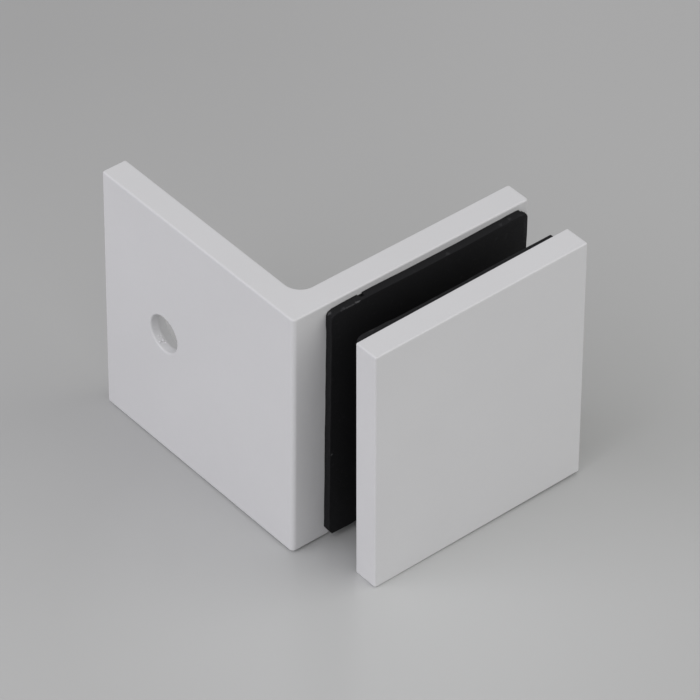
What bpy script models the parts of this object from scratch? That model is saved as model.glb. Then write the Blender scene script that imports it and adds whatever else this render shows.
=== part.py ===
"""Glass-to-wall bracket: an L angle, a clamp plate and the screw that draws the two onto a glass panel.

Metres, +Z up. The origin is the centre of the face that lies on the wall, which looks along -X.
The glass stands upright along X, between the angle's glass leg and the clamp plate.
"""

import math

import bmesh
import bpy
from mathutils import Vector

# The angle, bent at its outer corner. Legs are measured over the outside.
HEIGHT = 0.050
WALL_LEG = 0.050
GLASS_LEG = 0.050
LEG_THICKNESS = 0.005
INNER_FILLET = 0.003
OUTER_CORNER = 0.0006
EDGE_BREAK = 0.0004

# The wall screw's hole, countersunk from the angle's inner side.
WALL_HOLE = 0.007
WALL_HOLE_FROM_END = 0.016
WALL_COUNTERSINK = 0.0136

# The clamp plate is as tall as the angle, ends level with its glass leg and stands back from the wall.
PLATE_FROM_WALL = 0.005
PLATE_THICKNESS = 0.005
PLATE_EDGE_BREAK = 0.0003

# The glass at rest, and how far the clamp closes and opens from there.
GLASS_GAP = 0.007
CLOSING_TRAVEL = 0.001

# Gaskets, cut from sheet a little smaller than the plate and glued on by hand, each a little off the plate's
# middle. A shift is along X and Z.
GASKET_SHEET = 0.0012
GLUE_FILM = 0.0003
GASKET_SIDE_INSET = 0.00175
GASKET_END_INSET = 0.0013
GASKET_CORNER = 0.0005
ANGLE_GASKET_SHIFT = (0.00015, 0.0002)
PLATE_GASKET_SHIFT = (-0.0008, 0.0003)

# The clamp screw: M6 with a 90 degree countersunk head and a hexagon socket.
SCREW_DIAMETER = 0.006
THREAD_PITCH = 0.001
SCREW_HEAD = 0.0116
SCREW_HEAD_RIM = 0.0005
SCREW_HEAD_RECESS = 0.0003
SCREW_TIP_CHAMFER = 0.0006
SOCKET_FLATS = 0.004
SOCKET_DEPTH = 0.0025
SCREW_CLEARANCE = 0.0003

# The plate's boss and the tapped bore in it.
BOSS_DIAMETER = 0.012
BOSS_LENGTH = 0.006
BOSS_FILLET = 0.0008
BOSS_CHAMFER = 0.0005
DRILL_POINT_ANGLE = math.radians(118)
PLATE_FRONT_WALL = 0.0009
BORE_END_CLEARANCE = 0.0003

# The bush that the glass's hole rests on.
SLEEVE_WALL = 0.0010
SLEEVE_CLEARANCE = 0.0003
SLEEVE_CHAMFER = 0.0003
SLEEVE_END_GAP = 0.0010

HOLE_CHAMFER = 0.0002
BEVEL_SEGMENTS = 3
ARC_STEPS = 10
TURN_STEPS = 64
CUT_OVERRUN = 0.002

# Places that follow from the sizes above.
GLASS_FACE_Y = -WALL_LEG / 2
INNER_FACE_Y = GLASS_FACE_Y + LEG_THICKNESS
GASKET_DEPTH = GLUE_FILM + GASKET_SHEET
CLAMP_GAP = GLASS_GAP + 2 * GASKET_DEPTH
PLATE_BACK_Y = GLASS_FACE_Y - CLAMP_GAP
PLATE_WIDTH = GLASS_LEG - PLATE_FROM_WALL
GASKET_WIDTH = PLATE_WIDTH - 2 * GASKET_SIDE_INSET
GASKET_HEIGHT = HEIGHT - 2 * GASKET_END_INSET
SCREW_X = PLATE_FROM_WALL + PLATE_WIDTH / 2
SCREW_HOLE = SCREW_DIAMETER + 2 * SCREW_CLEARANCE
SCREW_SINK = SCREW_HEAD + 2 * (SCREW_HEAD_RECESS + SCREW_HEAD_RIM + math.sqrt(2) * SCREW_CLEARANCE)
TAP_DRILL = SCREW_DIAMETER - THREAD_PITCH
DRILL_POINT = TAP_DRILL / 2 / math.tan(DRILL_POINT_ANGLE / 2)
BORE_DEPTH = PLATE_THICKNESS - PLATE_FRONT_WALL - DRILL_POINT
SCREW_BITE = BORE_DEPTH - BORE_END_CLEARANCE - CLOSING_TRAVEL
SCREW_LENGTH = LEG_THICKNESS + CLAMP_GAP + SCREW_BITE - SCREW_HEAD_RECESS
SLEEVE_BORE = BOSS_DIAMETER + 2 * SLEEVE_CLEARANCE
SLEEVE_DIAMETER = SLEEVE_BORE + 2 * SLEEVE_WALL
GASKET_HOLE = SLEEVE_DIAMETER + 2 * SLEEVE_CLEARANCE

# Turned pieces are drawn about their own Z. These turn it to the way that the screw points, back to its head,
# or away from the wall.
TO_SCREW_TIP = (math.radians(90), 0, 0)
TO_SCREW_HEAD = (math.radians(-90), 0, 0)
AWAY_FROM_WALL = (0, math.radians(90), 0)


def clear_scene():
    for thing in list(bpy.data.objects):
        bpy.data.objects.remove(thing, do_unlink=True)


def new_collection(name, hidden=False):
    collection = bpy.data.collections.new(name)
    bpy.context.scene.collection.children.link(collection)
    collection.hide_render = hidden
    return collection


def new_material(name, colour, roughness, metallic):
    material = bpy.data.materials.new(name)
    material.use_nodes = True
    shader = material.node_tree.nodes["Principled BSDF"]
    shader.inputs["Base Color"].default_value = (*colour, 1)
    shader.inputs["Roughness"].default_value = roughness
    shader.inputs["Metallic"].default_value = metallic
    material.diffuse_color = (*colour, 1)
    return material


def add_object(name, mesh, collection, material=None):
    thing = bpy.data.objects.new(name, mesh)
    collection.objects.link(thing)
    if material:
        mesh.materials.append(material)
    return thing


def add_axis(name, location, collection):
    """An empty on a joint's axis, which carries the pieces that the joint moves."""
    empty = bpy.data.objects.new(name, None)
    empty.location = location
    empty.empty_display_size = HEIGHT / 5
    collection.objects.link(empty)
    return empty


def arc(centre, radius, start, end, steps=ARC_STEPS):
    """Points on a circle in the outline's plane, from one angle in degrees to another."""
    turns = [math.radians(start + (end - start) * i / steps) for i in range(steps + 1)]
    return [(centre[0] + radius * math.cos(t), centre[1] + radius * math.sin(t)) for t in turns]


def rounded_rectangle(width, height, radius, centre=(0, 0)):
    across, up = width / 2 - radius, height / 2 - radius
    corners = [(across, up, 0), (-across, up, 90), (-across, -up, 180), (across, -up, 270)]
    points = []
    for x, y, start in corners:
        points += arc((centre[0] + x, centre[1] + y), radius, start, start + 90)
    return points


def mesh_from_outlines(name, outlines, thickness):
    """A sheet of the given thickness about its own XY plane. Outlines after the first are holes in it."""
    curve = bpy.data.curves.new(name, "CURVE")
    curve.dimensions = "2D"
    curve.fill_mode = "BOTH"
    curve.extrude = thickness / 2
    for points in outlines:
        spline = curve.splines.new("POLY")
        spline.points.add(len(points) - 1)
        for place, (x, y) in zip(spline.points, points):
            place.co = (x, y, 0, 1)
        spline.use_cyclic_u = True
    drawn = bpy.data.objects.new(name + "_outline", curve)
    bpy.context.scene.collection.objects.link(drawn)
    bpy.context.view_layer.update()
    evaluated = drawn.evaluated_get(bpy.context.evaluated_depsgraph_get())
    mesh = bpy.data.meshes.new_from_object(evaluated)
    mesh.name = name
    bpy.data.objects.remove(drawn, do_unlink=True)
    shape = bmesh.new()
    shape.from_mesh(mesh)
    bmesh.ops.remove_doubles(shape, verts=shape.verts, dist=1e-6)
    bmesh.ops.dissolve_limit(shape, angle_limit=math.radians(0.5), verts=shape.verts, edges=shape.edges)
    bmesh.ops.recalc_face_normals(shape, faces=shape.faces)
    shape.to_mesh(mesh)
    shape.free()
    return mesh


def turned_mesh(name, profile, closed=False):
    """The edge of a turned shape, as (radius, height) points from top to bottom of its outer side."""
    shape = bmesh.new()
    points = [shape.verts.new((radius, 0, height)) for radius, height in profile]
    for first, second in zip(points, points[1:]):
        shape.edges.new((first, second))
    if closed:
        shape.edges.new((points[-1], points[0]))
    mesh = bpy.data.meshes.new(name)
    shape.to_mesh(mesh)
    shape.free()
    return mesh


def turn(thing):
    screw = thing.modifiers.new("turned", "SCREW")
    screw.axis = "Z"
    screw.angle = math.radians(360)
    screw.steps = TURN_STEPS
    screw.render_steps = TURN_STEPS
    screw.use_merge_vertices = True
    screw.merge_threshold = 1e-6


def break_edges(thing, width):
    bevel = thing.modifiers.new("edge_break", "BEVEL")
    bevel.width = width
    bevel.segments = BEVEL_SEGMENTS
    bevel.limit_method = "ANGLE"
    bevel.angle_limit = math.radians(40)


def combine(thing, other, operation):
    boolean = thing.modifiers.new(operation.lower() + "_" + other.name, "BOOLEAN")
    boolean.operation = operation
    boolean.solver = "EXACT"
    boolean.object = other
    other.hide_render = True
    other.display_type = "WIRE"


def settle(thing):
    """Makes the modifiers' result the object's own mesh, shaded smooth across its fine facets."""
    bpy.context.view_layer.update()
    evaluated = thing.evaluated_get(bpy.context.evaluated_depsgraph_get())
    mesh = bpy.data.meshes.new_from_object(evaluated)
    drawn = thing.data
    thing.modifiers.clear()
    thing.data = mesh
    bpy.data.meshes.remove(drawn)
    mesh.name = thing.name
    mesh.shade_smooth()
    mesh.set_sharp_from_angle(angle=math.radians(35))


def add_turned(name, profile, collection, material=None, closed=False):
    thing = add_object(name, turned_mesh(name, profile, closed), collection, material)
    turn(thing)
    return thing


def countersunk_hole(name, hole, sink, thickness, cutters):
    """A cutter about +Z through a leg of this thickness, with the 90 degree sink where it ends."""
    sink_depth = (sink - hole) / 2
    mouth = hole / 2 + HOLE_CHAMFER
    profile = [
        (0, thickness + CUT_OVERRUN),
        (sink / 2 + CUT_OVERRUN, thickness + CUT_OVERRUN),
        (hole / 2, thickness - sink_depth),
        (hole / 2, HOLE_CHAMFER),
        (mouth + CUT_OVERRUN, -CUT_OVERRUN),
        (0, -CUT_OVERRUN),
    ]
    return add_turned(name, profile, cutters)


def build_wall_angle(parts, cutters, coat):
    """The L, drawn from above and as tall as the bracket, with both its holes."""
    corner = (0, GLASS_FACE_Y)
    inner = (LEG_THICKNESS + INNER_FILLET, INNER_FACE_Y + INNER_FILLET)
    outline = arc((corner[0] + OUTER_CORNER, corner[1] + OUTER_CORNER), OUTER_CORNER, 180, 270)
    outline += [(GLASS_LEG, GLASS_FACE_Y), (GLASS_LEG, INNER_FACE_Y)]
    outline += arc(inner, INNER_FILLET, 270, 180)
    outline += [(LEG_THICKNESS, WALL_LEG / 2), (0, WALL_LEG / 2)]
    angle = add_object("wall_angle", mesh_from_outlines("wall_angle", [outline], HEIGHT), parts, coat)
    break_edges(angle, EDGE_BREAK)

    wall_hole = countersunk_hole("wall_hole", WALL_HOLE, WALL_COUNTERSINK, LEG_THICKNESS, cutters)
    wall_hole.rotation_euler = AWAY_FROM_WALL
    wall_hole.location = (0, WALL_LEG / 2 - WALL_HOLE_FROM_END, 0)
    combine(angle, wall_hole, "DIFFERENCE")

    screw_hole = countersunk_hole("screw_hole", SCREW_HOLE, SCREW_SINK, LEG_THICKNESS, cutters)
    screw_hole.rotation_euler = TO_SCREW_HEAD
    screw_hole.location = (SCREW_X, GLASS_FACE_Y, 0)
    combine(angle, screw_hole, "DIFFERENCE")
    settle(angle)
    return angle


def boss_profile():
    """The boss stands on the plate's back, its root sunk into the plate, from its end to its root."""
    radius = BOSS_DIAMETER / 2
    root = arc((radius + BOSS_FILLET, BOSS_FILLET), BOSS_FILLET, 180, 270, ARC_STEPS // 2)
    profile = [(0, BOSS_LENGTH), (radius - BOSS_CHAMFER, BOSS_LENGTH), (radius, BOSS_LENGTH - BOSS_CHAMFER)]
    return profile + root + [(radius + BOSS_FILLET, -PLATE_THICKNESS / 2), (0, -PLATE_THICKNESS / 2)]


def bore_profile():
    """The tapped bore, from its mouth at the boss's end down to the drill's point in the plate."""
    radius = SCREW_HOLE / 2
    return [
        (0, BOSS_LENGTH + CUT_OVERRUN),
        (radius + HOLE_CHAMFER + CUT_OVERRUN, BOSS_LENGTH + CUT_OVERRUN),
        (radius, BOSS_LENGTH - HOLE_CHAMFER),
        (radius, -BORE_DEPTH),
        (TAP_DRILL / 2, -BORE_DEPTH),
        (0, -BORE_DEPTH - DRILL_POINT),
    ]


def build_clamp_plate(parts, cutters, coat, axis):
    shape = bmesh.new()
    bmesh.ops.create_cube(shape, size=1)
    bmesh.ops.scale(shape, vec=Vector((PLATE_WIDTH, PLATE_THICKNESS, HEIGHT)), verts=shape.verts)
    mesh = bpy.data.meshes.new("clamp_plate")
    shape.to_mesh(mesh)
    shape.free()
    plate = add_object("clamp_plate", mesh, parts, coat)
    plate.parent = axis
    plate.location = (0, -PLATE_THICKNESS / 2, 0)
    break_edges(plate, PLATE_EDGE_BREAK)

    boss = add_turned("boss", boss_profile(), cutters)
    bore = add_turned("tapped_bore", bore_profile(), cutters)
    for turned, operation in ((boss, "UNION"), (bore, "DIFFERENCE")):
        turned.parent = axis
        turned.rotation_euler = TO_SCREW_HEAD
        combine(plate, turned, operation)
    settle(plate)
    return plate


def build_gasket(name, face_y, towards, shift, parts, rubber):
    """A glued sheet on a metal face, which stands off it by the glue's film, towards the glass."""
    outline = rounded_rectangle(GASKET_WIDTH, GASKET_HEIGHT, GASKET_CORNER, shift)
    hole = arc((0, 0), GASKET_HOLE / 2, 360, 0, TURN_STEPS)[:-1]
    gasket = add_object(name, mesh_from_outlines(name, [outline, hole], GASKET_SHEET), parts, rubber)
    gasket.rotation_euler = TO_SCREW_TIP
    gasket.location = (SCREW_X, face_y + towards * (GLUE_FILM + GASKET_SHEET / 2), 0)
    settle(gasket)
    return gasket


def build_sleeve(parts, plastic, axis):
    """The bush stands on the plate's back, round the boss, and ends short of the angle when the clamp closes."""
    bore, radius = SLEEVE_BORE / 2, SLEEVE_DIAMETER / 2
    foot, top = SLEEVE_CLEARANCE, CLAMP_GAP - CLOSING_TRAVEL - SLEEVE_END_GAP
    profile = [
        (radius - SLEEVE_CHAMFER, top),
        (radius, top - SLEEVE_CHAMFER),
        (radius, foot),
        (bore + BOSS_FILLET, foot),
        (bore, foot + BOSS_FILLET),
        (bore, top),
    ]
    sleeve = add_turned("glass_sleeve", profile, parts, plastic, closed=True)
    sleeve.parent = axis
    sleeve.rotation_euler = TO_SCREW_HEAD
    settle(sleeve)
    return sleeve


def build_screw(parts, cutters, steel, axis):
    """The screw's Z runs from the leg's inner face to its tip. The head's cone lies in the leg's sink."""
    top = SCREW_HEAD_RECESS
    tip = top + SCREW_LENGTH
    radius, head = SCREW_DIAMETER / 2, SCREW_HEAD / 2
    profile = [
        (0, tip),
        (radius - SCREW_TIP_CHAMFER, tip),
        (radius, tip - SCREW_TIP_CHAMFER),
        (radius, top + SCREW_HEAD_RIM + head - radius),
        (head, top + SCREW_HEAD_RIM),
        (head, top),
        (0, top),
    ]
    screw = add_turned("clamp_screw", profile, parts, steel)
    screw.parent = axis
    screw.rotation_euler = TO_SCREW_TIP

    corner_radius = SOCKET_FLATS / 2 / math.cos(math.radians(30))
    shape = bmesh.new()
    bmesh.ops.create_cone(
        shape,
        cap_ends=True,
        segments=6,
        radius1=corner_radius,
        radius2=corner_radius,
        depth=SOCKET_DEPTH + CUT_OVERRUN,
    )
    mesh = bpy.data.meshes.new("hexagon_socket")
    shape.to_mesh(mesh)
    shape.free()
    socket = add_object("hexagon_socket", mesh, cutters)
    socket.parent = screw
    socket.location = (0, 0, top + (SOCKET_DEPTH - CUT_OVERRUN) / 2)
    combine(screw, socket, "DIFFERENCE")
    settle(screw)
    return screw


def main():
    clear_scene()
    parts = new_collection("glass_to_wall_bracket")
    cutters = new_collection("cutters", hidden=True)
    coat = new_material("white_powder_coat", (0.80, 0.80, 0.82), 0.45, 0)
    rubber = new_material("black_rubber", (0.012, 0.012, 0.013), 0.6, 0)
    steel = new_material("stainless_steel", (0.60, 0.60, 0.59), 0.3, 1)
    plastic = new_material("black_nylon", (0.03, 0.03, 0.03), 0.4, 0)

    clamp_axis = add_axis("clamp_slide_axis", (SCREW_X, PLATE_BACK_Y, 0), parts)
    screw_axis = add_axis("screw_turn_axis", (SCREW_X, INNER_FACE_Y, 0), parts)

    build_wall_angle(parts, cutters, coat)
    build_clamp_plate(parts, cutters, coat.copy(), clamp_axis)
    build_gasket("angle_gasket", GLASS_FACE_Y, -1, ANGLE_GASKET_SHIFT, parts, rubber)
    plate_gasket = build_gasket("plate_gasket", PLATE_BACK_Y, 1, PLATE_GASKET_SHIFT, parts, rubber.copy())
    plate_gasket.parent = clamp_axis
    plate_gasket.location -= clamp_axis.location
    build_sleeve(parts, plastic, clamp_axis)
    build_screw(parts, cutters, steel, screw_axis)


main()
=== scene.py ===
"""Looks of a white glass-to-wall bracket: an angle and a plate that clamp glass between two rubber sheets."""

import math
import random

import bmesh
import bpy
from mathutils import Matrix, Vector


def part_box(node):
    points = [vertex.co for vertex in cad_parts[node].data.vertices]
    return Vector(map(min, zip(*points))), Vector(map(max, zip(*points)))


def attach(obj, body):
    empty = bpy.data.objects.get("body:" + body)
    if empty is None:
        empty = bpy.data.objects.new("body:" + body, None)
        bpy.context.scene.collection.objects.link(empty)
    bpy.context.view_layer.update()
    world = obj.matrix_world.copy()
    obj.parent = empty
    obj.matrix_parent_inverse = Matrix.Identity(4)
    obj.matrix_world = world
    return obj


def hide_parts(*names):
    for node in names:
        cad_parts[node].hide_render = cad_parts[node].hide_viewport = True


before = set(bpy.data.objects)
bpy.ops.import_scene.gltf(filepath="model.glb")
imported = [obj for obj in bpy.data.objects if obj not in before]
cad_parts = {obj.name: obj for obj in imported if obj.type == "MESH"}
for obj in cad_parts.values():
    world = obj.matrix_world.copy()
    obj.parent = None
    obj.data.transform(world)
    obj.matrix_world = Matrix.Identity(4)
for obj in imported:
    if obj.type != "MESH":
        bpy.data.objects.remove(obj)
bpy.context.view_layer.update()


# The view. The bracket was photographed on a table from above its outer corner, through a long lens, so that
# the wall leg's back, the plate's front and all the upper edges show.
CAMERA_PLACE = (-0.39577, -0.50656, 0.54627)
CAMERA_TURN = [math.radians(a) for a in (49.7796, -0.5921, -39.7532)]
LENS_MM = 261.946
SENSOR_MM = 36
CLIP_NEAR = 0.01
CLIP_FAR = 20

camera = bpy.data.objects.new("camera", bpy.data.cameras.new("camera"))
bpy.context.scene.collection.objects.link(camera)
camera.location = CAMERA_PLACE
camera.rotation_euler = CAMERA_TURN
camera.data.lens = LENS_MM
camera.data.sensor_width = SENSOR_MM
camera.data.clip_start = CLIP_NEAR
camera.data.clip_end = CLIP_FAR
bpy.context.scene.camera = camera
bpy.context.scene.view_settings.view_transform = "Standard"


# The wall angle: one length of extruded aluminium L, sawn to 50 mm, drilled and countersunk from its inner
# side, edges broken by tumbling and then powder-coated white.
angle_low, angle_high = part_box("wall_angle")
MM = 0.001
LEG_THICKNESS = 5 * MM
INNER_FILLET = 3 * MM
OUTER_CORNER = 0.9 * MM
LEG_END_ROUND = 0.50 * MM
ANGLE_EDGE = 0.36 * MM
WALL_HOLE = 7 * MM
WALL_COUNTERSINK = 13.6 * MM
WALL_HOLE_FROM_END = 16 * MM
DRILLED_HIGH = 0.15 * MM
SCREW_HOLE = 6.6 * MM
SCREW_SINK = 14.05 * MM
ARC_STEPS = 14
TURN_STEPS = 96
CUT_OVERRUN = 2 * MM
WELD = 0.001 * MM
EDGE_SEGMENTS = 5
SHARP_EDGE = 28
TRUE_CORNER = 35
FLAT_FACE_WEIGHT = 100
WHITE = (0.650, 0.648, 0.660)
COAT_GRAIN = 0.25
COAT_RELIEF = 0.02 * MM
FLOW_MARKS_SCALE = 750
COAT_GRAIN_SCALE = 5200
COAT_FILM_SCALE = 45
NOISE_LOW = 0.3
NOISE_HIGH = 0.7

screw_low, screw_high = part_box("clamp_screw")
SCREW_X = (screw_low.x + screw_high.x) / 2
SCREW_Z = (screw_low.z + screw_high.z) / 2
WALL_HOLE_Y = angle_high.y - WALL_HOLE_FROM_END
WALL_HOLE_Z = (angle_low.z + angle_high.z) / 2 + DRILLED_HIGH


def arc(centre, radius, start, end, steps=ARC_STEPS):
    """Points on a circle from one angle in degrees to another."""
    turns = [math.radians(start + (end - start) * i / steps) for i in range(steps + 1)]
    return [(centre[0] + radius * math.cos(t), centre[1] + radius * math.sin(t)) for t in turns]


def add_piece(name, mesh):
    piece = bpy.data.objects.new(name, mesh)
    bpy.context.scene.collection.objects.link(piece)
    return piece


def mesh_of(shape, name):
    bmesh.ops.recalc_face_normals(shape, faces=shape.faces)
    mesh = bpy.data.meshes.new(name)
    shape.to_mesh(mesh)
    shape.free()
    return mesh


def extruded(name, outline, low, high):
    """An outline seen from above, stood up from low to high."""
    shape = bmesh.new()
    face = shape.faces.new([shape.verts.new((x, y, low)) for x, y in outline])
    made = bmesh.ops.extrude_face_region(shape, geom=[face])["geom"]
    raised = [v for v in made if isinstance(v, bmesh.types.BMVert)]
    bmesh.ops.translate(shape, verts=raised, vec=(0, 0, high - low))
    return add_piece(name, mesh_of(shape, name))


def turned(name, rows, steps=TURN_STEPS):
    """A solid turned about +Z from (radius, height) rows. A radius may be a function of the angle."""
    shape = bmesh.new()
    rings = []
    for radius, height in rows:
        turns = [math.tau * i / steps for i in range(steps)]
        radii = [radius(t) if callable(radius) else radius for t in turns]
        places = [(r * math.cos(t), r * math.sin(t), height) for r, t in zip(radii, turns)]
        rings.append([shape.verts.new(place) for place in places])
    for ring, next_ring in zip(rings, rings[1:]):
        for i in range(steps):
            j = (i + 1) % steps
            shape.faces.new((ring[i], ring[j], next_ring[j], next_ring[i]))
    shape.faces.new(rings[0])
    shape.faces.new(rings[-1])
    return add_piece(name, mesh_of(shape, name))


def placed(piece, along, point):
    """Turns a piece's own +Z to a direction and moves its origin to a point, in its mesh."""
    turn = Vector((0, 0, 1)).rotation_difference(Vector(along)).to_matrix().to_4x4()
    piece.data.transform(Matrix.Translation(point) @ turn)
    return piece


def combine(piece, other, operation):
    """Cuts another piece out of this one, or joins it on, and throws the other away."""
    boolean = piece.modifiers.new(operation, "BOOLEAN")
    boolean.operation = operation
    boolean.solver = "EXACT"
    boolean.object = other
    settle(piece)
    weld(piece)
    bpy.data.objects.remove(other, do_unlink=True)


def round_edges(piece, radius, segments=EDGE_SEGMENTS, short_edges=False):
    """Rounds the sharp edges. On a piece with short edges the radius shrinks where two rounds would meet."""
    bevel = piece.modifiers.new("rounded", "BEVEL")
    bevel.use_clamp_overlap = short_edges
    bevel.width = radius
    bevel.segments = segments
    bevel.limit_method = "ANGLE"
    bevel.angle_limit = math.radians(SHARP_EDGE)
    settle(piece)
    weld(piece)
    smooth_but_for_corners(piece)


def settle(piece):
    """Makes the modifiers' result the piece's own mesh."""
    bpy.context.view_layer.update()
    evaluated = piece.evaluated_get(bpy.context.evaluated_depsgraph_get())
    mesh = bpy.data.meshes.new_from_object(evaluated)
    piece.modifiers.clear()
    drawn = piece.data
    piece.data = mesh
    bpy.data.meshes.remove(drawn)
    mesh.name = piece.name


def weld(piece):
    """Joins corners within a micron of each other, and drops the faces without area that cuts leave."""
    shape = bmesh.new()
    shape.from_mesh(piece.data)
    bmesh.ops.remove_doubles(shape, verts=shape.verts, dist=WELD)
    bmesh.ops.dissolve_degenerate(shape, dist=WELD / 2, edges=shape.edges)
    shape.to_mesh(piece.data)
    shape.free()


def smooth_but_for_corners(piece, corner=TRUE_CORNER):
    """Shades round parts round, keeps true corners, and keeps flat faces flat up to their rounded edges."""
    piece.data.shade_smooth()
    piece.data.set_sharp_from_angle(angle=math.radians(corner))
    weighted = piece.modifiers.new("flat faces", "WEIGHTED_NORMAL")
    weighted.keep_sharp = True
    weighted.weight = FLAT_FACE_WEIGHT
    settle(piece)


def countersunk_hole(hole, sink, thickness):
    """A cutter along +Z through a leg, with the 90 degree sink where it comes out."""
    sink_depth = (sink - hole) / 2
    return turned("hole", [
        (hole / 2, -CUT_OVERRUN),
        (hole / 2, thickness - sink_depth),
        (sink / 2 + CUT_OVERRUN, thickness + CUT_OVERRUN),
    ])


def group(name, inputs, outputs):
    """An empty node group with named inputs and outputs, and the two nodes that hold its sockets."""
    tree = bpy.data.node_groups.new(name, "ShaderNodeTree")
    for label, kind, value in inputs:
        socket = tree.interface.new_socket(label, in_out="INPUT", socket_type="NodeSocket" + kind)
        socket.default_value = value
    for label, kind in outputs:
        tree.interface.new_socket(label, in_out="OUTPUT", socket_type="NodeSocket" + kind)
    return tree, tree.nodes.new("NodeGroupInput"), tree.nodes.new("NodeGroupOutput")


def node(tree, kind, **settings):
    made = tree.nodes.new("ShaderNode" + kind)
    for key, value in settings.items():
        setattr(made, key, value)
    return made


def feed(tree, sockets, values):
    """Sets each socket, or links it where the value is another node's socket."""
    for socket, value in zip(sockets, values):
        if isinstance(value, bpy.types.NodeSocket):
            tree.links.new(value, socket)
        else:
            socket.default_value = value


def noise(tree, place, scale, detail=2.0, roughness=0.5):
    """Noise over the piece's own metres. A scale of 1000 has features of about a millimetre."""
    made = node(tree, "TexNoise")
    sockets = [made.inputs[label] for label in ("Vector", "Scale", "Detail", "Roughness")]
    feed(tree, sockets, (place, scale, detail, roughness))
    return made.outputs["Fac"]


def maths(tree, operation, *values):
    made = node(tree, "Math", operation=operation)
    feed(tree, made.inputs, values)
    return made.outputs[0]


def ranged(tree, value, from_low, from_high, to_low, to_high):
    made = node(tree, "MapRange")
    feed(tree, made.inputs, (value, from_low, from_high, to_low, to_high))
    return made.outputs["Result"]


def spread(tree, value, to_low, to_high):
    """Stretches noise, which keeps near its middle, over the whole of a range."""
    return ranged(tree, value, NOISE_LOW, NOISE_HIGH, to_low, to_high)


def mixed(tree, amount, first, second, blend="MIX"):
    made = node(tree, "Mix", data_type="RGBA", blend_type=blend)
    feed(tree, (made.inputs[0], made.inputs[6], made.inputs[7]), (amount, first, second))
    return made.outputs[2]


def object_place(tree):
    return node(tree, "TexCoord").outputs["Object"]


def powder_coat_skin():
    """A baked powder coat: flow marks a millimetre wide, a finer grain, and a slightly uneven film."""
    tree, given, out = group(
        "powder_coat_skin",
        [("Colour", "Color", (1, 1, 1, 1)), ("Flow", "Float", 1.0), ("Grain", "Float", 1.0)],
        [("Colour", "Color"), ("Roughness", "Float"), ("Height", "Float")],
    )
    place = object_place(tree)
    flow = noise(tree, place, FLOW_MARKS_SCALE, 1.5)
    grain = noise(tree, place, COAT_GRAIN_SCALE, 2)
    film = noise(tree, place, COAT_FILM_SCALE, 3)
    shade = spread(tree, film, 0.985, 1.01)
    fine = spread(tree, grain, 0.99, 1.01)
    colour = mixed(tree, 1, given.outputs["Colour"], maths(tree, "MULTIPLY", shade, fine), "MULTIPLY")
    height = maths(tree, "ADD", maths(tree, "MULTIPLY", flow, given.outputs["Flow"]),
                   maths(tree, "MULTIPLY", grain, given.outputs["Grain"]))
    feed(tree, out.inputs, (colour, spread(tree, flow, 0.40, 0.50), height))
    return tree


POWDER_COAT_SKIN = powder_coat_skin()


def new_material(name, metallic=0.0, roughness=0.5):
    material = bpy.data.materials.new(name)
    material.use_nodes = True
    shader = material.node_tree.nodes["Principled BSDF"]
    shader.inputs["Metallic"].default_value = metallic
    shader.inputs["Roughness"].default_value = roughness
    return material, material.node_tree, shader


def use_group(tree, group_tree, **values):
    made = node(tree, "Group", node_tree=group_tree)
    feed(tree, [made.inputs[label] for label in values], values.values())
    return made.outputs


def add_bump(tree, height, shader, relief):
    bump = node(tree, "Bump")
    bump.inputs["Strength"].default_value = 1
    bump.inputs["Distance"].default_value = relief
    tree.links.new(height, bump.inputs["Height"])
    tree.links.new(bump.outputs["Normal"], shader.inputs["Normal"])


def white_powder_coat(name, flow):
    material, tree, shader = new_material(name)
    skin = use_group(tree, POWDER_COAT_SKIN, Colour=(*WHITE, 1), Flow=flow, Grain=COAT_GRAIN)
    tree.links.new(skin["Colour"], shader.inputs["Base Color"])
    tree.links.new(skin["Roughness"], shader.inputs["Roughness"])
    add_bump(tree, skin["Height"], shader, COAT_RELIEF)
    return material


def build_wall_angle():
    left, right, front, back = angle_low.x, angle_high.x, angle_low.y, angle_high.y
    inner = (left + LEG_THICKNESS + INNER_FILLET, front + LEG_THICKNESS + INNER_FILLET)
    outline = arc((left + OUTER_CORNER, front + OUTER_CORNER), OUTER_CORNER, 180, 270)
    outline += arc((right - LEG_END_ROUND, front + LEG_END_ROUND), LEG_END_ROUND, 270, 360)
    outline += arc((right - LEG_END_ROUND, front + LEG_THICKNESS - LEG_END_ROUND), LEG_END_ROUND, 0, 90)
    outline += arc(inner, INNER_FILLET, 270, 180)
    outline += arc((left + LEG_THICKNESS - LEG_END_ROUND, back - LEG_END_ROUND), LEG_END_ROUND, 0, 90)
    outline += arc((left + LEG_END_ROUND, back - LEG_END_ROUND), LEG_END_ROUND, 90, 180)
    angle = extruded("wall_angle_coated", outline, angle_low.z, angle_high.z)
    wall_hole = countersunk_hole(WALL_HOLE, WALL_COUNTERSINK, LEG_THICKNESS)
    combine(angle, placed(wall_hole, (1, 0, 0), (left, WALL_HOLE_Y, WALL_HOLE_Z)), "DIFFERENCE")
    screw_hole = countersunk_hole(SCREW_HOLE, SCREW_SINK, LEG_THICKNESS)
    combine(angle, placed(screw_hole, (0, 1, 0), (SCREW_X, front, SCREW_Z)), "DIFFERENCE")
    round_edges(angle, ANGLE_EDGE)
    return angle


angle = build_wall_angle()
angle.data.materials.append(white_powder_coat("white_powder_coat_angle", flow=1.0))
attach(angle, "angle")
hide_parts("wall_angle")


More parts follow.
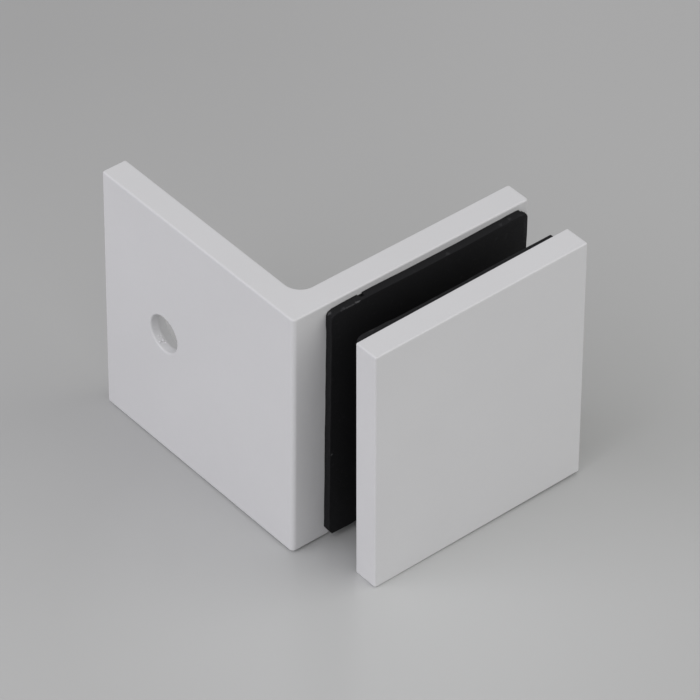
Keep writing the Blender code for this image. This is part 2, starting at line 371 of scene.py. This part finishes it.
# Beads of the coat, which ran together in the wall hole's bore, beside the edge of its countersink, and baked
# there. Each is half sunk in the coat of the bore.
BEADS = [
    # Angle round the hole in degrees from +Y; then in mm: depth into the leg, length, width, height.
    (-60.3, 1.21, 0.56, 0.50, 0.22),
    (-60.0, 0.62, 0.46, 0.42, 0.20),
    (-48.0, 1.28, 0.62, 0.40, 0.12),
    (-44.5, 0.95, 0.50, 0.44, 0.10),
    (-69.5, 1.42, 0.44, 0.30, 0.08),
]
BEAD_SUBDIVISIONS = 3


def build_beads():
    shape = bmesh.new()
    for angle_round, depth, length, width, height in BEADS:
        turn = math.radians(angle_round)
        outward = Vector((0, math.cos(turn), math.sin(turn)))
        along = Vector((0, -math.sin(turn), math.cos(turn)))
        place = Vector((angle_low.x + depth * MM, WALL_HOLE_Y, WALL_HOLE_Z)) + outward * WALL_HOLE / 2
        size = Matrix.Diagonal((length * MM / 2, width * MM / 2, height * MM, 1))
        bead_turn = Matrix((along, (1, 0, 0), outward)).transposed().to_4x4()
        bead = Matrix.Translation(place) @ bead_turn @ size
        bmesh.ops.create_icosphere(shape, subdivisions=BEAD_SUBDIVISIONS, radius=1, matrix=bead)
    return add_piece("coat_beads", mesh_of(shape, "coat_beads"))


beads = build_beads()
beads.data.shade_smooth()
beads.data.materials.append(white_powder_coat("white_powder_coat_beads", flow=0.3))
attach(beads, "angle")


# The clamp plate: a square of 5 mm aluminium with a tapped boss on its back, coated with the angle. Its edges
# are sharper than the angle's. Nothing but the screw holds it, so it hangs a little out of square.
plate_low, plate_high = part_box("clamp_plate")
PLATE_THICKNESS = 5 * MM
PLATE_EDGE = 0.30 * MM
PLATE_TURN = math.radians(-0.834)
BOSS_DIAMETER = 12 * MM
BOSS_FILLET = 0.8 * MM
BOSS_CHAMFER = 0.5 * MM
THREAD_MAJOR = 6 * MM
THREAD_PITCH = 1 * MM
THREAD_DEPTH = 0.6 * MM
THREAD_CREST = 0.07  # Ends this far from the crest's middle, in parts of the pitch.
THREAD_ROOT = 0.38  # Starts this far from it.
THREAD_PLAY = 0.2 * MM
ROWS_PER_THREAD = 16
BORE_MOUTH = 0.5 * MM
BORE_END_FROM_FRONT = 2.4 * MM
DRILL_POINT = 1.5 * MM
POINT_RADIUS = MM / 20

PLATE_BACK_Y = plate_low.y + PLATE_THICKNESS
BOSS_LENGTH = plate_high.y - PLATE_BACK_Y
SCREW_TOP = Vector((SCREW_X, screw_high.y, SCREW_Z))


def thread_rows(major, low, high, end_radius):
    """Rows of a right-hand thread about +Z, which fades out at its low end and has a 45 degree tip."""
    count = round((high - low) / THREAD_PITCH * ROWS_PER_THREAD)
    rows = []
    for i in range(count + 1):
        height = low + (high - low) * i / count
        fade = min((height - low) / THREAD_PITCH, 1)
        tip = end_radius + high - height

        def radius(turn, height=height, fade=fade, tip=tip):
            off_crest = abs((height / THREAD_PITCH - turn / math.tau) % 1 - 0.5)
            fall = min(max((off_crest - THREAD_CREST) / (THREAD_ROOT - THREAD_CREST), 0), 1)
            return min(major / 2 - THREAD_DEPTH * fall * fade, tip)
        rows.append((radius, height))
    return rows


def turned_with_plate(piece):
    """Swings a piece about the clamp screw by as much as the plate hangs out of square."""
    piece.data.transform(Matrix.Translation(SCREW_TOP) @ Matrix.Rotation(PLATE_TURN, 4, "Y")
                         @ Matrix.Translation(-SCREW_TOP))
    return piece


def build_clamp_plate():
    outline = [(plate_low.x, plate_low.y), (plate_high.x, plate_low.y),
               (plate_high.x, PLATE_BACK_Y), (plate_low.x, PLATE_BACK_Y)]
    plate = extruded("clamp_plate_coated", outline, plate_low.z, plate_high.z)
    round_edges(plate, PLATE_EDGE)
    turned_with_plate(plate)
    radius = BOSS_DIAMETER / 2
    boss = turned("boss", [(radius + BOSS_FILLET, -PLATE_THICKNESS / 2)]
                  + arc((radius + BOSS_FILLET, BOSS_FILLET), BOSS_FILLET, 270, 180)
                  + [(radius, BOSS_LENGTH - BOSS_CHAMFER), (radius - BOSS_CHAMFER, BOSS_LENGTH)])
    combine(plate, placed(boss, (0, 1, 0), (SCREW_X, PLATE_BACK_Y, SCREW_Z)), "UNION")
    mouth = screw_high.y - plate_high.y
    end = screw_high.y - plate_low.y - BORE_END_FROM_FRONT
    major = THREAD_MAJOR + 2 * THREAD_PLAY
    root = major / 2 - THREAD_DEPTH
    rows = [(major / 2 + CUT_OVERRUN, mouth - CUT_OVERRUN), (major / 2, mouth + BORE_MOUTH / 4)]
    rows += thread_rows(major, mouth + BORE_MOUTH, end, root)
    bore = turned("bore", rows + [(POINT_RADIUS, end + DRILL_POINT)])
    combine(plate, placed(bore, (0, -1, 0), SCREW_TOP), "DIFFERENCE")
    smooth_but_for_corners(plate)
    return plate


plate = build_clamp_plate()
plate.data.materials.append(white_powder_coat("white_powder_coat_plate", flow=0.8))
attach(plate, "plate")
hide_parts("clamp_plate")


# The gaskets: 1.5 mm black rubber sheet, cut to size by hand with a knife and a punch and stuck to the metal
# with contact glue. No side is quite straight, and the knife has scuffed the cut edges grey here and there.
# On the angle's sheet, the grey along the upper front edge is partly painted highlight of a raised burr, and
# the grey down its right end is painted highlight.
RUBBER_THICKNESS = 1.45 * MM
RUBBER_EDGE = 0.12 * MM
RUBBER_EDGE_SEGMENTS = 3
RUBBER_HOLE = 15.2 * MM
PUNCH_REACH = 4 * MM
UPPER_PART = 10 * MM
CUT_STEP = 2 * MM
CUT_WANDER = 0.03 * MM
TOP_LEAN = 0.17 * MM
ANGLE_KNIFE_SEED = 3
PLATE_KNIFE_SEED = 8
BLACK_RUBBER = (0.0142, 0.0142, 0.0153, 1)
SCUFF_AND_HIGHLIGHT_GREY = (0.11, 0.11, 0.115, 1)
RUBBER_SPECULAR = 0.08
RUBBER_RELIEF = 0.02 * MM
RUBBER_GRAIN_SCALE = 4200
RUBBER_WEAR_SCALE = 900
RUBBER_WEAR_RANGE = (0.62, 0.8)
RUBBER_WEAR_MOST = 0.12
TORN_EDGE_SCALE = 3000
# The glue film's black is partly painted shade: it darkens the line between the rubber and the metal.
GLUE_INSET = 0.35 * MM
GLUE_AND_SHADE_DARK = (0.010, 0.010, 0.010, 1)
GLUE_AND_SHADE_PALE = (0.03, 0.029, 0.027, 1)
GLUE_RELIEF = 0.05 * MM
GLUE_STRINGS_SCALE = 1500

# Corners of each sheet in mm as (X, Z) with the plate hanging square, seen from the plate's front, from the
# lower left corner round by the right. The knife slipped at both ends of the upper edge of the angle's sheet
# and left a nick at each.
ANGLE_SHEET = [
    (6.72, -22.8), (7.3, -23.78), (11.2, -23.91), (30.0, -23.7), (48.0, -23.5), (48.55, -23.0),
    (48.5, 0.0), (48.56, 23.0), (48.3, 23.55), (47.2, 23.74), (42.0, 23.68), (38.0, 23.6),
    (34.0, 23.5), (24.0, 23.52), (20.0, 23.6), (16.0, 23.66), (12.0, 23.62), (9.4, 23.56),
    (7.9, 23.5), (7.05, 23.2), (6.75, 22.6), (6.72, 20.5), (6.83, 19.4), (6.77, 12.0), (6.79, 5.0),
    (6.71, -2.0), (6.75, -10.0),
]
ANGLE_NICKS = [
    [(12.8, 24.3), (13.3, 23.55), (14.15, 23.22), (14.3, 24.3)],
    [(47.55, 24.3), (47.9, 23.4), (49.0, 23.05), (49.0, 24.3)],
]
NICK_DEPTH = 0.85 * MM
PLATE_SHEET = [
    (6.4, -22.8), (6.8, -23.3), (47.2, -23.4), (48.0, -22.9), (48.0, 23.4), (47.6, 23.9),
    (42.0, 23.98), (36.5, 24.0), (33.4, 24.03), (29.4, 23.9), (23.0, 23.97), (18.5, 24.04),
    (15.4, 24.04), (14.0, 24.1), (12.6, 24.3), (9.4, 24.36), (8.6, 24.44), (7.5, 24.45),
    (6.9, 24.28), (6.45, 23.8), (6.3, 23.0), (6.4, 18.0),
]


def hand_cut(corners, chance, inset=0.0):
    """An outline through the corners, set in towards the middle, whose sides wander as a held knife does."""
    middle = Vector((SCREW_X, SCREW_Z))
    outline = []
    corners = [Vector(corner) * MM for corner in corners]
    for start, end in zip(corners, corners[1:] + corners[:1]):
        run = end - start
        pieces = max(1, round(run.length / CUT_STEP))
        across = Vector((-run.y, run.x)).normalized()
        outline.append(start)
        for i in range(1, pieces):
            outline.append(start + run * i / pieces + across * chance.uniform(-CUT_WANDER, CUT_WANDER))
    return [tuple(p - (p - middle).normalized() * inset) for p in outline]


def punched_sheet(name, corners, seed, inset, face_y, towards, low, high, nicks=()):
    """A sheet from low to high above the metal face at face_y, towards +Y or -Y, with the sleeve's hole.

    The knife leant over in the upper part, so the sheet is a little taller there on the side of the metal.
    """
    outline = hand_cut(corners, random.Random(seed), inset)
    sheet = extruded(name, outline, -towards * low, -towards * high)
    for vertex in sheet.data.vertices:
        if vertex.co.y > UPPER_PART and abs(vertex.co.z) < (low + high) / 2:
            vertex.co.y += TOP_LEAN
    for nick in nicks:
        cutter = extruded("nick", [(x * MM, z * MM) for x, z in nick], -NICK_DEPTH, NICK_DEPTH)
        combine(sheet, cutter, "DIFFERENCE")
    radius = RUBBER_HOLE / 2 + inset
    hole = turned("hole", [(radius, -PUNCH_REACH), (radius, PUNCH_REACH)])
    combine(sheet, placed(hole, (0, 0, 1), (SCREW_X, SCREW_Z, 0)), "DIFFERENCE")
    return placed(sheet, (0, -1, 0), (0, face_y, 0))


def scuff_and_highlight_mark():
    """A mask that is 1 inside an egg-shaped mark with a ragged edge, and 0 outside it."""
    tree, given, out = group(
        "scuff_and_highlight_mark",
        [("Centre", "Vector", (0, 0, 0)), ("Half size", "Vector", (1, 1, 1)), ("Ragged", "Float", 0.5)],
        [("Mark", "Float")],
    )
    off = node(tree, "VectorMath", operation="SUBTRACT")
    feed(tree, off.inputs, (object_place(tree), given.outputs["Centre"]))
    scaled = node(tree, "VectorMath", operation="DIVIDE")
    feed(tree, scaled.inputs, (off.outputs["Vector"], given.outputs["Half size"]))
    length = node(tree, "VectorMath", operation="LENGTH")
    tree.links.new(scaled.outputs["Vector"], length.inputs[0])
    torn = spread(tree, noise(tree, object_place(tree), TORN_EDGE_SCALE, 3), -1, 1)
    raggedness = maths(tree, "MULTIPLY", torn, given.outputs["Ragged"])
    reach = maths(tree, "ADD", length.outputs["Value"], raggedness)
    tree.links.new(ranged(tree, reach, 0.6, 1.1, 1, 0), out.inputs["Mark"])
    return tree


SCUFF_AND_HIGHLIGHT_MARK = scuff_and_highlight_mark()


def black_rubber(name, marks):
    material, tree, shader = new_material(name)
    place = object_place(tree)
    mask = 0.0
    for centre, half_size, strength in marks:
        place_and_size = {"Centre": Vector(centre) * MM, "Half size": Vector(half_size) * MM}
        mark = use_group(tree, SCUFF_AND_HIGHLIGHT_MARK, **place_and_size)["Mark"]
        mask = maths(tree, "MAXIMUM", mask, maths(tree, "MULTIPLY", mark, strength))
    grain = noise(tree, place, RUBBER_GRAIN_SCALE, 3, 0.6)
    wear = noise(tree, place, RUBBER_WEAR_SCALE, 4)
    patches = ranged(tree, wear, *RUBBER_WEAR_RANGE, 0, RUBBER_WEAR_MOST)
    # Grey marks: knife scuffs, random wear and, on the angle's sheet, painted highlights.
    wear_and_highlights = maths(tree, "MAXIMUM", mask, patches)
    tree.links.new(mixed(tree, wear_and_highlights, BLACK_RUBBER, SCUFF_AND_HIGHLIGHT_GREY), shader.inputs["Base Color"])
    tree.links.new(spread(tree, grain, 0.5, 0.7), shader.inputs["Roughness"])
    shader.inputs["Specular IOR Level"].default_value = RUBBER_SPECULAR
    add_bump(tree, grain, shader, RUBBER_RELIEF)
    return material


# Contact glue, coloured black as painted shade in the line between each rubber sheet and the metal.
def black_glue_and_shade():
    material, tree, shader = new_material("black_glue_and_shade", roughness=0.35)
    strings = noise(tree, object_place(tree), GLUE_STRINGS_SCALE, 3)
    tree.links.new(mixed(tree, strings, GLUE_AND_SHADE_DARK, GLUE_AND_SHADE_PALE), shader.inputs["Base Color"])
    add_bump(tree, strings, shader, GLUE_RELIEF)
    return material


BLACK_GLUE_AND_SHADE = black_glue_and_shade()


def add_gasket(node_name, body, corners, seed, face_y, towards, marks, hang, nicks=()):
    low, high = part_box(node_name)
    thickness = (high.y - low.y) + min(abs(low.y - face_y), abs(high.y - face_y))
    glue = thickness - RUBBER_THICKNESS
    sheet = punched_sheet(node_name + "_sheet", corners, seed, 0.0, face_y, towards, glue, thickness, nicks)
    round_edges(hang(sheet), RUBBER_EDGE, RUBBER_EDGE_SEGMENTS, short_edges=True)
    sheet.data.materials.append(black_rubber("black_rubber_" + body, marks))
    # The glue film under the sheet is black: glue, and painted shade in the line between the rubber and the
    # metal.
    film = punched_sheet(node_name + "_glue", corners, seed, GLUE_INSET, face_y, towards, 0.0, glue)
    hang(film).data.materials.append(BLACK_GLUE_AND_SHADE)
    for piece in (sheet, film):
        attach(piece, body)
    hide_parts(node_name)


# The three marks on the upper front edge near the left end are scuff and painted highlight of a raised burr;
# the long one at the right end is painted highlight.
ANGLE_SCUFFS_AND_HIGHLIGHTS = [
    # Centre, half size in mm, strength.
    ((10.7, -26.44, 23.56), (1.9, 0.15, 0.16), 0.32),
    ((12.3, -26.42, 23.6), (0.55, 0.2, 0.18), 0.7),
    ((9.3, -26.15, 23.5), (0.4, 0.18, 0.2), 0.22),
    ((7.05, -25.45, 23.3), (0.4, 0.3, 0.36), 0.6),
    ((31.5, -26.2, 23.6), (0.5, 0.3, 0.3), 0.13),
    ((43.0, -26.0, 23.7), (0.35, 0.4, 0.3), 0.12),
    ((45.0, -25.9, 23.7), (0.4, 0.3, 0.3), 0.15),
    ((48.4, -26.4, 20.0), (0.7, 0.3, 3.5), 0.10),
    ((7.05, -26.5, -6.2), (0.26, 0.3, 0.24), 0.8),
]
PLATE_MARKS = [
    ((9.0, -33.6, 24.2), (0.6, 0.4, 0.3), 0.15),
    ((22.0, -33.6, 24.0), (0.8, 0.3, 0.3), 0.1),
]
add_gasket("angle_gasket", "angle", ANGLE_SHEET, ANGLE_KNIFE_SEED, angle_low.y, -1, ANGLE_SCUFFS_AND_HIGHLIGHTS,
           lambda piece: piece, ANGLE_NICKS)
add_gasket("plate_gasket", "plate", PLATE_SHEET, PLATE_KNIFE_SEED, PLATE_BACK_Y, 1, PLATE_MARKS,
           turned_with_plate)


# The sleeve: a bush turned from black nylon rod, pushed over the boss, so that the hole in the glass rests on
# plastic. Its foot is relieved inside to clear the boss's fillet.
sleeve_low, sleeve_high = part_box("glass_sleeve")
SLEEVE_BORE = 12.6 * MM
SLEEVE_CHAMFER = 0.3 * MM
FINE_CHAMFER = 0.12 * MM
NYLON_DARK = (0.018, 0.018, 0.019, 1)
NYLON_PALE = (0.030, 0.030, 0.031, 1)
NYLON_RINGS_PER_METRE = 7000.0
NYLON_CLOUD_SCALE = 600
NYLON_RELIEF = 0.02 * MM


def build_sleeve():
    radius, length = (sleeve_high.x - sleeve_low.x) / 2, sleeve_high.y - sleeve_low.y
    sleeve = turned("glass_sleeve_turned", [
        (radius - FINE_CHAMFER, 0),
        (radius, FINE_CHAMFER),
        (radius, length - SLEEVE_CHAMFER),
        (radius - SLEEVE_CHAMFER, length),
    ])
    bore = SLEEVE_BORE / 2
    hollow = turned("hollow", [
        (bore + BOSS_FILLET + MM, -MM),
        (bore, BOSS_FILLET),
        (bore, length - FINE_CHAMFER),
        (bore + FINE_CHAMFER + MM, length + MM),
    ])
    combine(sleeve, hollow, "DIFFERENCE")
    smooth_but_for_corners(sleeve)
    return placed(sleeve, (0, 1, 0), (SCREW_X, sleeve_low.y, SCREW_Z))


def turning_marks():
    """Fine rings round the clamp screw's axis, as a lathe tool leaves."""
    tree, given, out = group("turning_marks", [("Rings per metre", "Float", 1.0)], [("Rings", "Float")])
    axis = node(tree, "SeparateXYZ")
    off = node(tree, "VectorMath", operation="SUBTRACT")
    feed(tree, off.inputs, (object_place(tree), SCREW_TOP))
    tree.links.new(off.outputs["Vector"], axis.inputs[0])
    squares = [maths(tree, "POWER", maths(tree, "ABSOLUTE", axis.outputs[k]), 2.0) for k in ("X", "Z")]
    from_axis = maths(tree, "SQRT", maths(tree, "ADD", *squares))
    rings = node(tree, "TexNoise", noise_dimensions="1D")
    travel = maths(tree, "ADD", from_axis, axis.outputs["Y"])
    travel = maths(tree, "MULTIPLY", travel, given.outputs["Rings per metre"])
    feed(tree, (rings.inputs["W"], rings.inputs["Scale"]), (travel, 1.0))
    tree.links.new(rings.outputs["Fac"], out.inputs["Rings"])
    return tree


TURNING_MARKS = turning_marks()


def black_nylon():
    material, tree, shader = new_material("black_nylon")
    rings = use_group(tree, TURNING_MARKS, **{"Rings per metre": NYLON_RINGS_PER_METRE})["Rings"]
    cloud = noise(tree, object_place(tree), NYLON_CLOUD_SCALE, 3)
    tree.links.new(mixed(tree, cloud, NYLON_DARK, NYLON_PALE), shader.inputs["Base Color"])
    tree.links.new(spread(tree, rings, 0.34, 0.5), shader.inputs["Roughness"])
    add_bump(tree, rings, shader, NYLON_RELIEF)
    return material


sleeve = build_sleeve()
sleeve.data.materials.append(black_nylon())
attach(sleeve, "plate")
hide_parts("glass_sleeve")


# The clamp screw: an M6 countersunk socket screw in stainless steel, put in from the hidden side of the glass
# leg. Its thread is rolled, and its head and chamfers are turned.
SCREW_HEAD = 11.6 * MM
HEAD_RIM = 0.5 * MM
RIM_EDGE = 0.1 * MM
SHANK_PLAIN = 1.2 * MM
TIP_CHAMFER = 0.6 * MM
SOCKET_FLATS = 4 * MM
SOCKET_SIDES = 6
SOCKET_DEPTH = 2.4 * MM
SOCKET_POINT = 0.7 * MM
SOCKET_LEAD = 0.3 * MM
SCREW_CORNER = 30
STEEL_DARK = (0.56, 0.555, 0.54, 1)
STEEL_PALE = (0.64, 0.635, 0.62, 1)
STEEL_RINGS_PER_METRE = 9000.0
STEEL_CLOUD_SCALE = 400
STEEL_RELIEF = 0.012 * MM


def build_screw():
    length = screw_high.y - screw_low.y
    head, shank = SCREW_HEAD / 2, THREAD_MAJOR / 2
    cone_end = HEAD_RIM + head - shank
    rows = [
        (head - RIM_EDGE, 0),
        (head, RIM_EDGE),
        (head, HEAD_RIM),
        (shank, cone_end),
        (shank, cone_end + SHANK_PLAIN),
    ]
    thread_start = cone_end + SHANK_PLAIN + POINT_RADIUS
    rows += thread_rows(THREAD_MAJOR, thread_start, length, shank - TIP_CHAMFER)
    screw = turned("clamp_screw_m6", rows)
    corner = SOCKET_FLATS / math.sqrt(3)
    hexagon = arc((0, 0), corner, 0, 360, SOCKET_SIDES)[:-1]
    combine(screw, extruded("socket", hexagon, -CUT_OVERRUN, SOCKET_DEPTH), "DIFFERENCE")
    flats = SOCKET_FLATS / 2 - POINT_RADIUS
    point = [(flats, SOCKET_DEPTH - MM), (flats, SOCKET_DEPTH), (POINT_RADIUS, SOCKET_DEPTH + SOCKET_POINT)]
    combine(screw, turned("point", point), "DIFFERENCE")
    lead = corner + SOCKET_LEAD / 2
    combine(screw, turned("lead", [(lead + MM, -MM), (lead - MM, MM)]), "DIFFERENCE")
    smooth_but_for_corners(screw, SCREW_CORNER)
    return placed(screw, (0, -1, 0), SCREW_TOP)


def stainless_steel():
    material, tree, shader = new_material("stainless_steel", metallic=1.0)
    rings = use_group(tree, TURNING_MARKS, **{"Rings per metre": STEEL_RINGS_PER_METRE})["Rings"]
    cloud = noise(tree, object_place(tree), STEEL_CLOUD_SCALE, 3)
    tree.links.new(mixed(tree, cloud, STEEL_DARK, STEEL_PALE), shader.inputs["Base Color"])
    tree.links.new(spread(tree, rings, 0.2, 0.36), shader.inputs["Roughness"])
    add_bump(tree, rings, shader, STEEL_RELIEF)
    return material


screw = build_screw()
screw.data.materials.append(stainless_steel())
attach(screw, "screw")
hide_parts("clamp_screw")


# The floor and the light: a grey satin table top, a large soft lamp at the left, one at the front right and a
# weak one beside the camera. Light is painted into the table's colour: lighter towards the camera and towards
# the right, with a painted pool of light in front of the plate. The bracket stands on the ends of the angle's
# legs and on the lowest corner of the plate, which hangs out of square.
# Painted light on the table: its colour far left, far right, near the camera, and in the pool in front of the
# plate.
FLOOR_PAINTED_LIGHT_FAR_LEFT = (0.402, 0.402, 0.402, 1)
FLOOR_PAINTED_LIGHT_FAR_RIGHT = (0.454, 0.454, 0.454, 1)
FLOOR_PAINTED_LIGHT_NEAR = (0.486, 0.488, 0.486, 1)
FLOOR_PAINTED_LIGHT_POOL = (0.553, 0.558, 0.556, 1)
PAINTED_LIGHT_POOL_PLACE = (0.006, -0.046, -0.025)
PAINTED_LIGHT_POOL_RADIUS = 0.056
TOWARDS_CAMERA = (-0.62, -0.78, 0)
CAMERA_RIGHT = (0.78, -0.62, 0)
FAR_TO_NEAR = (-0.12, 0.035)
LEFT_TO_RIGHT = (-0.03, 0.06)
FLOOR_ROUGHNESS = 0.24
FLOOR_GAP = 0.03 * MM
FLOOR_HALF = 4.0
SOFTBOXES = [
    # Name, direction, distance and width in metres, level, colour.
    ("left_softbox", (-0.85, 0.12, 0.62), 1.1, 1.1, 0.515, (0.958, 0.945, 1.0)),
    ("front_softbox", (0.60, -0.75, 0.72), 1.1, 1.1, 0.327, (1.0, 1.0, 0.965)),
    ("camera_side_softbox", (-0.60, -0.78, 0.35), 1.3, 1.0, 0.125, (1.0, 1.0, 1.0)),
]
ROOM_LEVEL = 0.490


def resting_plane():
    """A point and the upward direction of the plane through the three places that the bracket stands on."""
    lowest = min((v.co for v in plate.data.vertices), key=lambda place: place.z)
    wall_end = Vector((angle_low.x + LEG_THICKNESS / 2, angle_high.y, angle_low.z))
    glass_end = Vector((angle_high.x, angle_low.y + LEG_THICKNESS / 2, angle_low.z))
    up = (glass_end - wall_end).cross(wall_end - lowest).normalized()
    return wall_end, up if up.z > 0 else -up


def how_far(tree, direction):
    """How far a place lies in a direction, in metres."""
    made = node(tree, "VectorMath", operation="DOT_PRODUCT")
    feed(tree, made.inputs, (object_place(tree), direction))
    return made.outputs["Value"]


def build_floor():
    shape = bmesh.new()
    bmesh.ops.create_grid(shape, x_segments=1, y_segments=1, size=FLOOR_HALF)
    floor = add_piece("floor", mesh_of(shape, "floor"))
    point, up = resting_plane()
    placed(floor, up, point - up * FLOOR_GAP)
    material, tree, shader = new_material("grey_table", roughness=FLOOR_ROUGHNESS)
    right = ranged(tree, how_far(tree, CAMERA_RIGHT), *LEFT_TO_RIGHT, 0, 1)
    near = ranged(tree, how_far(tree, TOWARDS_CAMERA), *FAR_TO_NEAR, 0, 1)
    spot = node(tree, "VectorMath", operation="DISTANCE")
    feed(tree, spot.inputs, (object_place(tree), PAINTED_LIGHT_POOL_PLACE))
    painted_light_pool = ranged(tree, spot.outputs["Value"], 0, PAINTED_LIGHT_POOL_RADIUS, 1, 0)
    # Painted light: lighter towards the right and towards the camera, and lightest in the painted pool in front
    # of the plate.
    colour = mixed(tree, near, mixed(tree, right, FLOOR_PAINTED_LIGHT_FAR_LEFT, FLOOR_PAINTED_LIGHT_FAR_RIGHT), FLOOR_PAINTED_LIGHT_NEAR)
    tree.links.new(mixed(tree, painted_light_pool, colour, FLOOR_PAINTED_LIGHT_POOL), shader.inputs["Base Color"])
    floor.data.materials.append(material)


def add_softbox(name, direction, distance, size, level, colour):
    """A square lamp that lights a facing white surface to this level at the bracket."""
    lamp = bpy.data.lights.new(name, "AREA")
    lamp.size = size
    lamp.color = colour
    lamp.energy = level * math.pi ** 2 * distance ** 2
    softbox = bpy.data.objects.new(name, lamp)
    bpy.context.scene.collection.objects.link(softbox)
    towards = Vector(direction).normalized()
    softbox.location = towards * distance
    softbox.rotation_euler = towards.to_track_quat("Z", "Y").to_euler()


build_floor()
for softbox in SOFTBOXES:
    add_softbox(*softbox)

world = bpy.data.worlds.new("studio")
bpy.context.scene.world = world
world.use_nodes = True
world.node_tree.nodes["Background"].inputs["Color"].default_value = (1, 1, 1, 1)
world.node_tree.nodes["Background"].inputs["Strength"].default_value = ROOM_LEVEL
